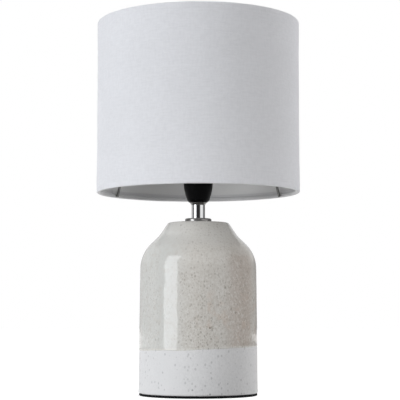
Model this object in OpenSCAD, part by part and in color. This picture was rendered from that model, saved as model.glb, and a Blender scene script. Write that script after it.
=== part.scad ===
// Table lamp: a hollow stoneware body on a foot pad, a chrome neck, a small
// screw-thread lampholder and a linen drum shade on a recessed three-arm spider.
// Millimetres, +Z up. The origin is on the table, on the lamp's axis; -Y is the front.

/* [Ceramic body] */
// Radius of the body at its foot
foot_r = 57.7; // [54:0.1:62]
// Radius of the body where the shoulder begins
shoulder_r = 56.3; // [53:0.1:60]
// Height at which the shoulder begins
shoulder_z = 122.5; // [118:0.5:128]
// Radius of the round of the shoulder
shoulder_round = 33.5; // [30:0.5:36]
// Lean of the slope above the shoulder, from the vertical
slope_lean = 46; // [43:0.2:48]
// Length of the straight part of the slope
slope_len = 8; // [6:0.5:10]
// Radius of the hollow round between the slope and the neck
neck_round = 30; // [26:1:34]
// Lean of the neck, from the vertical
neck_lean = 33.5; // [31:0.5:36]
// Height of the flat top
body_top_z = 167; // [165:0.5:170]
// Radius of the rounded edge of the flat top
top_edge_round = 3; // [2:0.1:4]
// Thickness of the side wall
wall_t = 6; // [5:0.5:7]
// Thickness of the wall under the flat top
top_t = 7; // [6:0.5:8]
// Radius of the hole in the top
top_hole_r = 5.6; // [5.4:0.1:6]
// Thickness of the foot pad
pad_t = 2.2; // [2:0.1:3]
// Radius of the foot pad
pad_r = 57.2; // [55:0.1:57.3]

/* [Cord inlet] */
// Height of the cord hole in the back
cord_hole_z = 16; // [14:0.5:30]
// Radius of the cord hole
cord_hole_r = 5; // [4.5:0.1:6]
// Radius of the bore of the grommet
cord_bore_r = 3.2; // [2.8:0.1:3.6]

/* [Neck] */
// Radius of the threaded tube
tube_r = 5; // [5:0.1:5]
// Radius of the bore of the threaded tube
tube_bore_r = 3.6; // [3:0.1:4]
// Radius of the flange on the body
flange_r = 12.9; // [12:0.1:14]
// Thickness of the flange
flange_t = 3.5; // [3.2:0.1:4.5]
// Thickness of the soft gasket under the flange
gasket_t = 0.6; // [0.4:0.1:1]
// Radius of the sleeve
sleeve_r = 6.6; // [6.4:0.1:7]
// Length of the sleeve
sleeve_len = 13.4; // [12:0.1:18]
// Radius of the collar under the lampholder
collar_r = 8.2; // [7.8:0.1:8.6]
// Radius of the collar at its foot, on the sleeve
collar_foot_r = 7; // [6.8:0.1:7.4]
// Height of the collar
collar_h = 2.3; // [2:0.1:2.8]

/* [Lampholder] */
// Radius of the holder cap at its wide end
cap_r = 14.9; // [14.6:0.1:15.4]
// Height of the holder cap
cap_h = 27; // [26:0.5:28]
// Radius of the shoulder that carries the shade
seat_r = 17; // [16:0.5:17.5]
// Outer radius of the thread on the holder
thread_r = 14; // [14:0.1:14]
// Pitch of the thread on the holder
thread_pitch = 2; // [2:0.1:2]
// Height of the skirt above the shoulder
skirt_h = 27.4; // [26:0.2:28]

/* [Shade] */
// Outer radius of the shade
shade_r = 99.5; // [96:0.5:104]
// Height of the lower edge of the shade
shade_low_z = 196.2; // [194:0.2:198]
// Height of the shade
shade_h = 167.8; // [160:0.2:176]
// Thickness of the fabric
fabric_t = 0.6; // [0.5:0.1:0.8]
// Thickness of the stiff liner
liner_t = 0.5; // [0.4:0.1:0.6]
// Depth of the fabric turned in behind the liner
hem_h = 7; // [5:0.5:9]
// Radius of the wire of the two rings
ring_wire_r = 1.5; // [1.2:0.1:1.8]
// Radius of the wire of the spider
spider_wire_r = 1.25; // [1:0.05:1.3]
// Lean of the legs of the spider, inwards from the vertical
leg_lean = 15; // [5:1:25]
// Number of arms of the spider
arm_count = 3; // [3:1:3]

/* [Bulb] */
// Radius of the bulb's globe
globe_r = 22.5; // [20:0.5:23]
// Length of the whole bulb
bulb_len = 78.5; // [77:0.5:82]
// Number of light chips on the board
chip_count = 8; // [6:1:10]

/* [Hidden] */
$fn = 96;

// Clearances: between glued or clamped pieces, of a bolt in its hole, between moving pieces
touch = 0.02;
snug = 0.04;
loose = 0.1;
// Steps in each round of an outline
arc_steps = 16;
// How far a cutting shape runs past the face it opens
past = 1;

// Stack of the neck, from the body upwards
flange_z = body_top_z + gasket_t;
sleeve_z = flange_z + flange_t;
collar_z = sleeve_z + sleeve_len;
cap_z = collar_z + collar_h;
cap_top_z = cap_z + cap_h;
seat_t = 2;
seat_z = cap_top_z + loose;
seat_top_z = seat_z + seat_t;
skirt_top_z = seat_top_z + skirt_h;

// Stack of the clamp inside the body, from the flat top's underside downwards
cavity_top_z = body_top_z - top_t;
rubber_washer_t = 1.2;
steel_washer_t = 1.5;
lock_washer_t = 0.9;
nut_t = 4.5;
nut_across_flats = 14;
rubber_washer_z = cavity_top_z - rubber_washer_t;
steel_washer_z = rubber_washer_z - steel_washer_t;
lock_washer_z = steel_washer_z - lock_washer_t;
nut_z = lock_washer_z - nut_t;
tube_z = nut_z - 5;
tube_top_z = cap_z + 5.5;

// Socket and bulb
socket_thread_r = 7.25;
bulb_thread_r = 6.95;
bulb_thread_pitch = 2.82;
bulb_z = seat_top_z + 3.3;
bulb_neck_z = bulb_z + 27;
bulb_top_z = bulb_z + bulb_len;
globe_z = bulb_top_z - globe_r;
globe_rim_z = globe_z - 0.6 * globe_r;
globe_rim_r = 0.8 * globe_r;

// Shade: the frame rings lie in the rolled edges of the fabric
liner_r = shade_r - fabric_t;
roll_r = ring_wire_r + fabric_t;
ring_r = shade_r - roll_r;
shade_top_z = shade_low_z + shade_h;
fitter_t = 1.6;
fitter_z = seat_top_z + loose;
fitter_r = 19.5;
arm_z = fitter_z + fitter_t / 2;
// Each leg touches the inner side of the lower ring at foot_point and leans in from there
leg_tail = 0.6;
arm_bend = 4;
bend_entry = 0.25;
foot_point = [ring_r, shade_low_z + roll_r] - (ring_wire_r + spider_wire_r) * ray(leg_lean);
bend_z = arm_z - arm_bend;
bend_x = foot_point[0] - arm_bend * cos(leg_lean)
    - (bend_z - foot_point[1] + arm_bend * sin(leg_lean)) * tan(leg_lean);
ring_nut_z = fitter_z + fitter_t + loose;
ring_nut_h = 7;
ring_nut_r = 18.8;

// Points of an arc, centre c, radius r, from angle a0 to angle a1
function arc(c, r, a0, a1, steps = arc_steps) =
    [for (i = [0:steps]) let (a = a0 + (a1 - a0) * i / steps) c + r * [cos(a), sin(a)]];

// Unit vector at angle a, and the direction that climbs a surface leaning by a
function ray(a) = [cos(a), sin(a)];
function climb(a) = [-sin(a), cos(a)];

wall_lean = atan((foot_r - shoulder_r) / (shoulder_z - pad_t));
shoulder_c = [shoulder_r, shoulder_z] - shoulder_round * ray(wall_lean);
slope_end = shoulder_c + shoulder_round * ray(slope_lean) + slope_len * climb(slope_lean);
blend_c = slope_end + neck_round * ray(slope_lean);

// Radius, at height z, of the neck's surface set in by t
function neck_r(t, z) =
    let (p = blend_c - (neck_round + t) * ray(neck_lean)) p[0] - (z - p[1]) * tan(neck_lean);

// Shoulder, slope and hollow round of the body, set in by t
function body_side(t) = concat(
    arc(shoulder_c, shoulder_round - t, wall_lean, slope_lean),
    [for (p = arc(blend_c, -(neck_round + t), slope_lean, neck_lean)) p]
);

// A ring of rectangular section
module washer(r_out, r_in, z, h) {
    translate([0, 0, z]) difference() {
        cylinder(r = r_out, h = h);
        translate([0, 0, -past]) cylinder(r = r_in, h = h + 2 * past);
    }
}

// Outlines of the ridges of a thread: crest radius r, ridge depth d, outwards or inwards
module thread_ridges(r, d, z, pitch, count) {
    for (i = [0:count - 1])
        polygon([
            [r - 1.6 * d, z + i * pitch], [r, z + (i + 0.35) * pitch],
            [r, z + (i + 0.6) * pitch], [r - 1.6 * d, z + (i + 0.95) * pitch]
        ]);
}

// ---- Base ----

module body_outer_outline() {
    edge_c = [neck_r(top_edge_round, body_top_z - top_edge_round), body_top_z - top_edge_round];
    foot_round = 1.5;
    polygon(concat(
        [[0, pad_t]],
        arc([foot_r - foot_round, pad_t + foot_round], foot_round, -90, 0),
        body_side(0),
        arc(edge_c, top_edge_round, neck_lean, 90),
        [[0, body_top_z]]
    ));
}

module body_cavity_outline() {
    polygon(concat(
        [[0, pad_t - past], [foot_r - wall_t, pad_t - past]],
        body_side(wall_t),
        [[neck_r(wall_t, cavity_top_z), cavity_top_z], [0, cavity_top_z]]
    ));
}

module ceramic_body() {
    color("#c9c0b2") difference() {
        rotate_extrude() difference() {
            body_outer_outline();
            body_cavity_outline();
        }
        translate([0, 0, cavity_top_z - past]) cylinder(r = top_hole_r, h = top_t + 2 * past);
        translate([0, foot_r - 2 * wall_t, cord_hole_z])
            rotate([-90, 0, 0]) cylinder(r = cord_hole_r, h = 3 * wall_t);
    }
}

module foot_pad() {
    edge = 0.5;
    color("#17171a") rotate_extrude()
        polygon([[0, 0], [pad_r - edge, 0], [pad_r, edge], [pad_r, pad_t], [0, pad_t]]);
}

module cord_grommet() {
    neck = cord_hole_r - snug;
    rim_r = cord_hole_r + 2.2;
    lip_r = cord_hole_r + 1.4;
    inner_y = foot_r - wall_t - 0.6;
    color("#1c1c1e") translate([0, 0, cord_hole_z]) rotate([-90, 0, 0]) rotate_extrude()
        polygon([
            [cord_bore_r, inner_y - 1.6], [lip_r - 0.8, inner_y - 1.6], [lip_r, inner_y],
            [neck, inner_y], [neck, foot_r + touch], [rim_r, foot_r + touch],
            [rim_r, foot_r + 1.2], [rim_r - 0.8, foot_r + 2], [cord_bore_r, foot_r + 2]
        ]);
}

module threaded_tube() {
    color("#b9a261") washer(tube_r, tube_bore_r, tube_z, tube_top_z - tube_z);
}

module inner_rubber_washer() {
    color("#222224") washer(15, tube_r + loose, rubber_washer_z, rubber_washer_t);
}

module inner_steel_washer() {
    color("#b4b6b8") washer(16, tube_r + loose, steel_washer_z, steel_washer_t);
}

// Toothed washer: the teeth are cut out of its outer edge
module lock_washer() {
    tooth_count = 12;
    color("#a8aaac") difference() {
        washer(9, tube_r + loose, lock_washer_z, lock_washer_t);
        for (i = [0:tooth_count - 1])
            rotate(i * 360 / tooth_count) translate([8, -0.5, lock_washer_z - past])
                cube([2, 1, lock_washer_t + 2 * past]);
    }
}

module hex_nut() {
    color("#b0a070") difference() {
        translate([0, 0, nut_z]) cylinder(r = nut_across_flats / 2 / cos(30), h = nut_t, $fn = 6);
        translate([0, 0, nut_z - past]) cylinder(r = tube_r + snug, h = nut_t + 2 * past);
    }
}

module flange_gasket() {
    color("#2a2a2c") washer(flange_r - 0.6, tube_r + loose, body_top_z, gasket_t);
}

// Turned cup: a rounded upper edge, and a recess in the underside
module neck_flange() {
    edge = 1.1;
    top = flange_z + flange_t;
    recess_r = flange_r - 2.2;
    color("#d6d8da") rotate_extrude() polygon(concat(
        [[tube_r + snug, flange_z + 2.2], [recess_r, flange_z + 2.2], [recess_r, flange_z],
         [flange_r, flange_z]],
        arc([flange_r - edge, top - edge], edge, 0, 90, 8),
        [[tube_r + snug, top]]
    ));
}

module neck_sleeve() {
    color("#e2e4e6") washer(sleeve_r, tube_r + 0.4, sleeve_z, sleeve_len);
}

module holder_collar() {
    edge = 0.6;
    lean = atan((collar_r - collar_foot_r) / collar_h);
    color("#c8cacc") rotate_extrude() polygon(concat(
        [[tube_r + snug, collar_z]],
        arc([collar_foot_r - edge, collar_z + edge], edge, -90, -lean, 8),
        [[collar_r, collar_z + collar_h], [tube_r + snug, collar_z + collar_h]]
    ));
}

// ---- Lampholder ----

// Outer side of the cap from its rim down to its foot: a slight cone, a wide round, a tight round
function cap_side() =
    let (cone_lean = 4, side_lean = 20.5, foot_lean = 65, wide = 54, tight = 5,
         cone_h = 9,
         p0 = [cap_r - cone_h * tan(cone_lean), cap_top_z - cone_h],
         c0 = p0 - wide * ray(-cone_lean),
         p1 = c0 + wide * ray(-side_lean),
         c1 = p1 - tight * ray(-side_lean))
    concat(
        [[cap_r, cap_top_z]],
        arc(c0, wide, -cone_lean, -side_lean),
        arc(c1, tight, -side_lean, -foot_lean, 8)
    );

// Angle of the locking screw about the axis: at the back
lock_screw_z = cap_z + 3.4;
lock_screw_r = 1.5;

module holder_cap() {
    cavity_z = cap_z + 6;
    rim_bore_r = cap_r - 2.2;
    color("#141416") difference() {
        rotate_extrude() difference() {
            polygon(concat(cap_side(), [[collar_r, cap_z], [0, cap_z], [0, cap_top_z]]));
            polygon([
                [0, cavity_z], [9, cavity_z], [11.2, cap_z + 12], [rim_bore_r, cap_z + 17],
                [rim_bore_r, cap_top_z + past], [0, cap_top_z + past]
            ]);
            translate([0, cap_z - past]) square([tube_r + snug, 2 * past + 6]);
        }
        translate([0, 0, lock_screw_z]) rotate([-90, 0, 0])
            cylinder(r = lock_screw_r, h = cap_r, $fn = 24);
    }
}

module cap_lock_screw() {
    slot = 0.6;
    color("#8c8e90") translate([0, 0, lock_screw_z]) rotate([-90, 0, 0]) difference() {
        translate([0, 0, tube_r + loose]) cylinder(r = lock_screw_r - snug, h = 5.2, $fn = 24);
        translate([-2, -slot / 2, tube_r + loose + 4.2]) cube([4, slot, 2]);
    }
}

// Skirt with the shade thread, the shoulder below it and the neck that enters the cap
module holder_shell() {
    root_r = thread_r - 0.9;
    bore_r = 11.8;
    neck_r_out = cap_r - 2.2 - loose;
    neck_z = seat_z - 8;
    thread_count = floor((skirt_h - 4) / thread_pitch);
    lip_t = 1.6;
    lip_r = 9.7;
    color("#161618") rotate_extrude() {
        difference() {
            union() {
                translate([bore_r, seat_z]) square([root_r - bore_r, skirt_top_z - seat_z]);
                translate([bore_r - 0.8, neck_z]) square([neck_r_out - bore_r + 0.8, 8 + past]);
                translate([bore_r, seat_z]) square([seat_r - bore_r, seat_t]);
                thread_ridges(thread_r, 0.7, seat_top_z + 2, thread_pitch, thread_count);
            }
            translate([0, neck_z + 2]) square([bore_r, seat_z - neck_z]);
        }
        translate([lip_r, skirt_top_z - lip_t]) square([root_r - lip_r, lip_t]);
    }
}

carrier_z = cap_z + 14;
carrier_floor_z = seat_top_z + 0.6;

// The two terminal screws: their places and their size
terminal_x = 4.2;
terminal_z = carrier_z + 4;
terminal_screw_r = 1.5;
terminal_head_y = 7;

// Insert with the socket's thread, its floor and the block that holds the terminals
module contact_carrier() {
    carrier_r = 9.5;
    rim_r = 11.7;
    rim_z = seat_z - 5.9;
    top = skirt_top_z - 1.6 - loose;
    side_slot = 3.4;
    color("#e4e0d6") difference() {
        rotate_extrude() difference() {
            union() {
                translate([0, carrier_z]) square([carrier_r, top - carrier_z]);
                translate([0, rim_z]) square([rim_r, 2]);
            }
            difference() {
                translate([0, carrier_floor_z])
                    square([socket_thread_r + 0.6, top - carrier_floor_z + past]);
                for (i = [0:5])
                    polygon([
                        [carrier_r - 1, carrier_floor_z + 5.2 + i * bulb_thread_pitch],
                        [socket_thread_r, carrier_floor_z + 6 + i * bulb_thread_pitch],
                        [socket_thread_r, carrier_floor_z + 6.4 + i * bulb_thread_pitch],
                        [carrier_r - 1, carrier_floor_z + 7.2 + i * bulb_thread_pitch]
                    ]);
            }
        }
        // Slot of the side contact
        translate([-side_slot / 2, 0, carrier_floor_z])
            cube([side_slot, socket_thread_r + 1.4, 12]);
        // Terminal screws in their counterbores, and the wire holes below them
        for (side = [-1, 1]) {
            translate([side * terminal_x, 0, terminal_z]) rotate([90, 0, 0]) {
                cylinder(r = terminal_screw_r + snug, h = 12, $fn = 24);
                translate([0, 0, terminal_head_y - touch]) cylinder(r = 2.1, h = 5, $fn = 32);
            }
            translate([side * terminal_x, 0, carrier_z - past]) cylinder(r = 1.2, h = 5, $fn = 24);
        }
    }
}

// Sprung tongue under the bulb's centre contact
module centre_contact() {
    strip_t = 0.5;
    strip_w = 4;
    foot_z = carrier_floor_z + touch;
    tip_z = bulb_z - 0.3;
    color("#c8a24a") rotate(-90) translate([0, strip_w / 2, 0]) rotate([90, 0, 0]) linear_extrude(strip_w)
        polygon([
            [-6.4, foot_z], [-3.6, foot_z], [1.6, tip_z - strip_t], [3.4, tip_z - strip_t - 0.5],
            [3.4, tip_z - 0.5], [1.6, tip_z], [-4, foot_z + strip_t], [-6.4, foot_z + strip_t]
        ]);
}

module side_contact() {
    strip_t = 0.5;
    strip_w = 3;
    color("#c8a24a") translate([-strip_w / 2, socket_thread_r + 0.75, carrier_floor_z + touch])
        cube([strip_w, strip_t, 11.5]);
}

module terminal_screws() {
    head_t = 1.2;
    slot = 0.6;
    color("#c9b27a") for (side = [-1, 1])
        translate([side * terminal_x, 0, terminal_z]) rotate([90, 0, 0]) difference() {
            union() {
                translate([0, 0, past]) cylinder(r = terminal_screw_r, h = terminal_head_y, $fn = 24);
                translate([0, 0, terminal_head_y]) cylinder(r = 2, h = head_t, $fn = 32);
            }
            translate([-3, -slot / 2, terminal_head_y + head_t / 2]) cube([6, slot, head_t]);
        }
}

// ---- Shade ----

// Section of the rolled lower edge, the ring's centre at the origin: the fabric goes round
// the ring and up behind the liner
module rolled_edge() {
    slot = liner_t + 2 * touch;
    slot_x = roll_r - fabric_t - slot;
    difference() {
        union() {
            circle(r = roll_r, $fn = 48);
            translate([slot_x - fabric_t, 0]) square([fabric_t, hem_h - roll_r]);
        }
        circle(r = ring_wire_r + touch, $fn = 48);
        translate([slot_x, 0]) square([slot, hem_h]);
    }
    translate([roll_r - fabric_t, 0]) square([fabric_t, shade_h / 2 - roll_r + past]);
}

module arm_positions() {
    for (i = [0:arm_count - 1]) rotate(-90 + i * 360 / arm_count) children();
}

module shade_fabric() {
    notch_w = 7;
    color("#e8e6e2") difference() {
        rotate_extrude($fn = 180) {
            translate([ring_r, shade_low_z + roll_r]) rolled_edge();
            translate([ring_r, shade_top_z - roll_r]) mirror([0, 1]) rolled_edge();
        }
        // The lower hem is cut away where the arms of the spider leave the ring
        arm_positions() translate([ring_r - 8, -notch_w / 2, shade_low_z + fabric_t + 0.2])
            cube([8, notch_w, hem_h + past]);
        arm_positions() translate([ring_r - 8, -notch_w / 2, shade_low_z + roll_r + ring_wire_r])
            cube([8 + roll_r - fabric_t - liner_t - touch, notch_w, hem_h + past]);
    }
}

module shade_liner() {
    clear = roll_r + 0.1;
    low = shade_low_z + clear + 1;
    color("#f4f3ef")
        washer(liner_r - touch, liner_r - touch - liner_t, low, shade_h - 2 * (clear + 1));
}

module wire_ring(z) {
    translate([0, 0, z]) rotate_extrude($fn = 180) translate([ring_r, 0]) circle(r = ring_wire_r, $fn = 32);
}

module top_ring() {
    color("#a4a6a6") wire_ring(shade_top_z - roll_r);
}

module bottom_ring() {
    color("#a4a6a6") wire_ring(shade_low_z + roll_r);
}

// One arm: a leg that leans in from the ring, a bend and a straight run in to the fitter ring.
// Leg and run enter the ends of the bend, which is a hair thicker.
module spider_arm() {
    leg_rise = bend_z - foot_point[1] + arm_bend * sin(leg_lean);
    leg_len = leg_rise / cos(leg_lean) + leg_tail + bend_entry;
    translate([foot_point[0], 0, foot_point[1]]) rotate([0, -leg_lean, 0])
        translate([0, 0, -leg_tail]) cylinder(r = spider_wire_r, h = leg_len, $fn = 32);
    translate([bend_x, 0, bend_z]) rotate([90, 0, 0]) rotate(leg_lean)
        rotate_extrude(angle = 90 - leg_lean, $fn = 64)
            translate([arm_bend, 0]) circle(r = spider_wire_r + 0.03, $fn = 32);
    difference() {
        translate([fitter_r - 2, 0, arm_z]) rotate([0, 90, 0])
            cylinder(r = spider_wire_r, h = bend_x + bend_entry - fitter_r + 2, $fn = 32);
        translate([0, 0, arm_z - 5]) cylinder(r = fitter_r + touch, h = 10);
    }
}

module spider_arms() {
    color("#a4a6a6") arm_positions() spider_arm();
}

module fitter_ring() {
    color("#a4a6a6") washer(fitter_r, thread_r + 0.35, fitter_z, fitter_t);
}

// ---- Shade ring nut ----

module shade_ring_nut() {
    flute_count = 24;
    flute_r = 1.2;
    top_edge = 1;
    color("#18181a") difference() {
        rotate_extrude() polygon([
            [thread_r + 0.25, ring_nut_z], [ring_nut_r, ring_nut_z],
            [ring_nut_r, ring_nut_z + ring_nut_h - top_edge],
            [ring_nut_r - top_edge, ring_nut_z + ring_nut_h], [thread_r + 0.25, ring_nut_z + ring_nut_h]
        ]);
        for (i = [0:flute_count - 1])
            rotate(i * 360 / flute_count) translate([ring_nut_r + 0.6, 0, ring_nut_z + 1.4])
                cylinder(r = flute_r, h = ring_nut_h, $fn = 24);
    }
}

// ---- Bulb ----

shell_t = 1;

module bulb_globe() {
    color("#f6f4ec") translate([0, 0, globe_z]) rotate_extrude($fn = 120) intersection() {
        difference() {
            circle(r = globe_r, $fn = 120);
            circle(r = globe_r - shell_t, $fn = 120);
        }
        translate([0, globe_rim_z - globe_z]) square([2 * globe_r, 2 * globe_r]);
    }
}

// Outer side of the housing from the cap up to the globe, set in by t
function housing_side(t) = [
    [8.2 - t, bulb_neck_z], [8.6 - t, bulb_neck_z + 2], [10.6 - t, bulb_neck_z + 5],
    [globe_rim_r - 2.2 - t, globe_rim_z - 4.5], [globe_rim_r - 0.4 - t, globe_rim_z - 1.6],
    [globe_rim_r - t, globe_rim_z - touch]
];

// Open cup with a floor, and a spigot that enters the cap
module bulb_housing() {
    wall = 1.4;
    hole_r = 4.8;
    spigot_r = 5.85;
    spigot_h = 5;
    color("#f2f2f0") rotate_extrude() {
        difference() {
            polygon(concat([[0, bulb_neck_z]], housing_side(0), [[0, globe_rim_z - touch]]));
            polygon(concat([[0, bulb_neck_z + wall]],
                [for (p = housing_side(wall)) [p[0], max(p[1], bulb_neck_z + wall)]],
                [[globe_rim_r - wall, globe_rim_z + past], [0, globe_rim_z + past]]));
            translate([0, bulb_neck_z - past]) square([hole_r, 3 * past]);
        }
        translate([hole_r, bulb_neck_z - spigot_h]) square([spigot_r - hole_r, spigot_h + wall]);
    }
}

module bulb_cap() {
    low = bulb_z + 5;
    root_r = bulb_thread_r - 0.5;
    wall = 0.5;
    color("#d0d2d4") rotate_extrude() difference() {
        union() {
            translate([0, low]) square([root_r, bulb_neck_z - low - touch]);
            for (i = [0:5])
                polygon([
                    [root_r - 0.2, low + 0.8 + i * bulb_thread_pitch],
                    [bulb_thread_r, low + 1.7 + i * bulb_thread_pitch],
                    [bulb_thread_r, low + 2.3 + i * bulb_thread_pitch],
                    [root_r - 0.2, low + 3.2 + i * bulb_thread_pitch]
                ]);
        }
        translate([0, low - past]) square([root_r - wall, bulb_neck_z - low + 2 * past]);
    }
}

module bulb_insulator() {
    top = bulb_z + 5 - touch;
    color("#1a1a1a") rotate_extrude()
        polygon([[0, bulb_z + 1.4], [3, bulb_z + 1.4], [6.2, top - 0.6], [6.2, top], [0, top]]);
}

module bulb_contact() {
    color("#c4c4c2") rotate_extrude()
        polygon(concat([[0, bulb_z]], arc([1.2, bulb_z + 1], 1, -90, 0, 6), [[2.2, bulb_z + 1.38], [0, bulb_z + 1.38]]));
}

board_t = 1.2;

module led_board() {
    color("#f0f0f0") translate([0, 0, globe_rim_z - board_t - 0.4])
        cylinder(r = globe_rim_r - 1.9, h = board_t);
}

module led_chips() {
    chip = 2.8;
    color("#e8d060") for (i = [0:chip_count - 1])
        rotate(i * 360 / chip_count) translate([10 - chip / 2, -chip / 2, globe_rim_z - 0.4])
            cube([chip, chip, 0.7]);
}

// Circuit board of the driver, upright on the axis, with its capacitor
module driver_board() {
    board_w = 9;
    color("#3f7f4a") {
        translate([-board_w / 2, -0.6, bulb_neck_z - 16]) cube([board_w, board_t, 26]);
        translate([0, 0.5, bulb_neck_z - 3]) cylinder(r = 3, h = 9, $fn = 32);
    }
}

ceramic_body();
foot_pad();
cord_grommet();
threaded_tube();
inner_rubber_washer();
inner_steel_washer();
lock_washer();
hex_nut();
flange_gasket();
neck_flange();
neck_sleeve();
holder_collar();
holder_cap();
cap_lock_screw();
holder_shell();
contact_carrier();
centre_contact();
side_contact();
terminal_screws();
shade_fabric();
shade_liner();
top_ring();
bottom_ring();
spider_arms();
fitter_ring();
shade_ring_nut();
bulb_globe();
bulb_housing();
bulb_cap();
bulb_insulator();
bulb_contact();
led_board();
led_chips();
driver_board();
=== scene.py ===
"""Looks of the table lamp: linen drum shade, speckled stoneware body, chrome neck, black holder.

The frame's axes: the origin on the table, +Z up, -Y the front. Meshes, the camera and the lights are in
metres; the outlines of turned pieces and all places inside a material are in millimetres.
"""

import math

import bmesh
import bpy
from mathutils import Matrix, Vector, noise


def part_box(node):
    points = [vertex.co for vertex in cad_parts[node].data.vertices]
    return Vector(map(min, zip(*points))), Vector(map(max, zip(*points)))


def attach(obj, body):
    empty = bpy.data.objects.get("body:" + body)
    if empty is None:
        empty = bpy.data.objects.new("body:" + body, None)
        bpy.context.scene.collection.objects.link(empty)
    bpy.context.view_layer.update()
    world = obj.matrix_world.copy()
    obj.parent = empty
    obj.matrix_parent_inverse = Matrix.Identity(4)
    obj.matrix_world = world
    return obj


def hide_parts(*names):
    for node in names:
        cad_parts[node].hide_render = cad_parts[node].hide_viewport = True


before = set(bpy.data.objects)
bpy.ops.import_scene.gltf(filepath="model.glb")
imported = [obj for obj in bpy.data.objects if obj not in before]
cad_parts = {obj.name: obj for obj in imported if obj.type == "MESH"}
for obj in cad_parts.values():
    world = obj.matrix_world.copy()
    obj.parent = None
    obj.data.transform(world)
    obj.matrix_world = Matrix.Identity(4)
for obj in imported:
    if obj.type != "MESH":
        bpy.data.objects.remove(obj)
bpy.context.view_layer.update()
SCENE = bpy.context.scene
MM = 0.001
# An edge looks sharp where the surface turns by more than this
SHARP_DEG = 35
# Points closer than this are one point, in metres
MERGE_DIST = 1e-7
HOLE_SIDES = 48


# ------------------------ outlines and meshes

def arc(centre, radius, start_deg, end_deg, steps):
    """Points of an arc in the (radius, height) plane."""
    points = []
    for i in range(steps + 1):
        angle = math.radians(start_deg + (end_deg - start_deg) * i / steps)
        points.append((centre[0] + radius * math.cos(angle), centre[1] + radius * math.sin(angle)))
    return points


def subdivided(points, step):
    """The open line through the points, with no piece longer than step."""
    line = [points[0]]
    for (r0, z0), (r1, z1) in zip(points, points[1:]):
        count = max(1, math.ceil(math.hypot(r1 - r0, z1 - z0) / step))
        for i in range(1, count + 1):
            line.append((r0 + (r1 - r0) * i / count, z0 + (z1 - z0) * i / count))
    return line


def in_metres(points_mm):
    """An outline in millimetres, turned into metres."""
    return [(r * MM, z * MM) for r, z in points_mm]


def smoothstep(low, high, x):
    """0 below low, 1 above high, and a smooth rise between them."""
    t = min(1.0, max(0.0, (x - low) / (high - low)))
    return t * t * (3 - 2 * t)


def on_circle(angle, radius, height=0.0):
    """A point at that angle about Z. Noise read at such points joins up all the way round."""
    return Vector((radius * math.cos(angle), radius * math.sin(angle), height))


def finish_mesh(name, bm, sharp_deg=SHARP_DEG):
    """The object of a bmesh, smooth where the surface turns by less than sharp_deg."""
    bmesh.ops.recalc_face_normals(bm, faces=bm.faces)
    limit = math.radians(sharp_deg)
    for face in bm.faces:
        face.smooth = True
    for edge in bm.edges:
        if len(edge.link_faces) == 2:
            edge.smooth = edge.calc_face_angle(0.0) < limit
    mesh = bpy.data.meshes.new(name)
    bm.to_mesh(mesh)
    bm.free()
    obj = bpy.data.objects.new(name, mesh)
    SCENE.collection.objects.link(obj)
    return obj


def lathe(name, outline, columns, move=None, sharp_deg=SHARP_DEG):
    """A closed outline of (radius, height) turned about Z. move(angle, r, z) gives each point its place."""
    bm = bmesh.new()
    grid = []
    for c in range(columns):
        angle = 2 * math.pi * c / columns
        points = [move(angle, r, z) for r, z in outline] if move else outline
        grid.append([bm.verts.new(on_circle(angle, r, z)) for r, z in points])
    for c in range(columns):
        here, there = grid[c], grid[(c + 1) % columns]
        for row in range(len(outline)):
            up = (row + 1) % len(outline)
            bm.faces.new((here[row], there[row], there[up], here[up]))
    bmesh.ops.remove_doubles(bm, verts=bm.verts, dist=MERGE_DIST)
    return finish_mesh(name, bm, sharp_deg)


def rod(name, start, end, radius):
    """A plain round rod, used to cut a hole."""
    start, end = Vector(start), Vector(end)
    axis = end - start
    turn = axis.to_track_quat("Z", "Y").to_matrix().to_4x4()
    bm = bmesh.new()
    shape = {"segments": HOLE_SIDES, "radius1": radius, "radius2": radius, "depth": axis.length}
    bmesh.ops.create_cone(bm, cap_ends=True, matrix=turn, **shape)
    bmesh.ops.translate(bm, verts=bm.verts, vec=(start + end) / 2)
    return finish_mesh(name, bm)


def cut(obj, name, cutter, sharp_deg):
    """obj with the cutter's space taken out, as a new object. Both old ones are removed."""
    boolean = obj.modifiers.new("cut", "BOOLEAN")
    boolean.operation = "DIFFERENCE"
    boolean.solver = "EXACT"
    boolean.object = cutter
    bpy.context.view_layer.update()
    bm = bmesh.new()
    bm.from_object(obj, bpy.context.evaluated_depsgraph_get())
    for old in (obj, cutter):
        mesh = old.data
        bpy.data.objects.remove(old)
        bpy.data.meshes.remove(mesh)
    return finish_mesh(name, bm, sharp_deg)


# ------------------------ node helpers

def rgb(red, green, blue):
    """A colour in linear light, as a colour socket takes it."""
    return (red, green, blue, 1)


def grey(level):
    return rgb(level, level, level)


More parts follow.
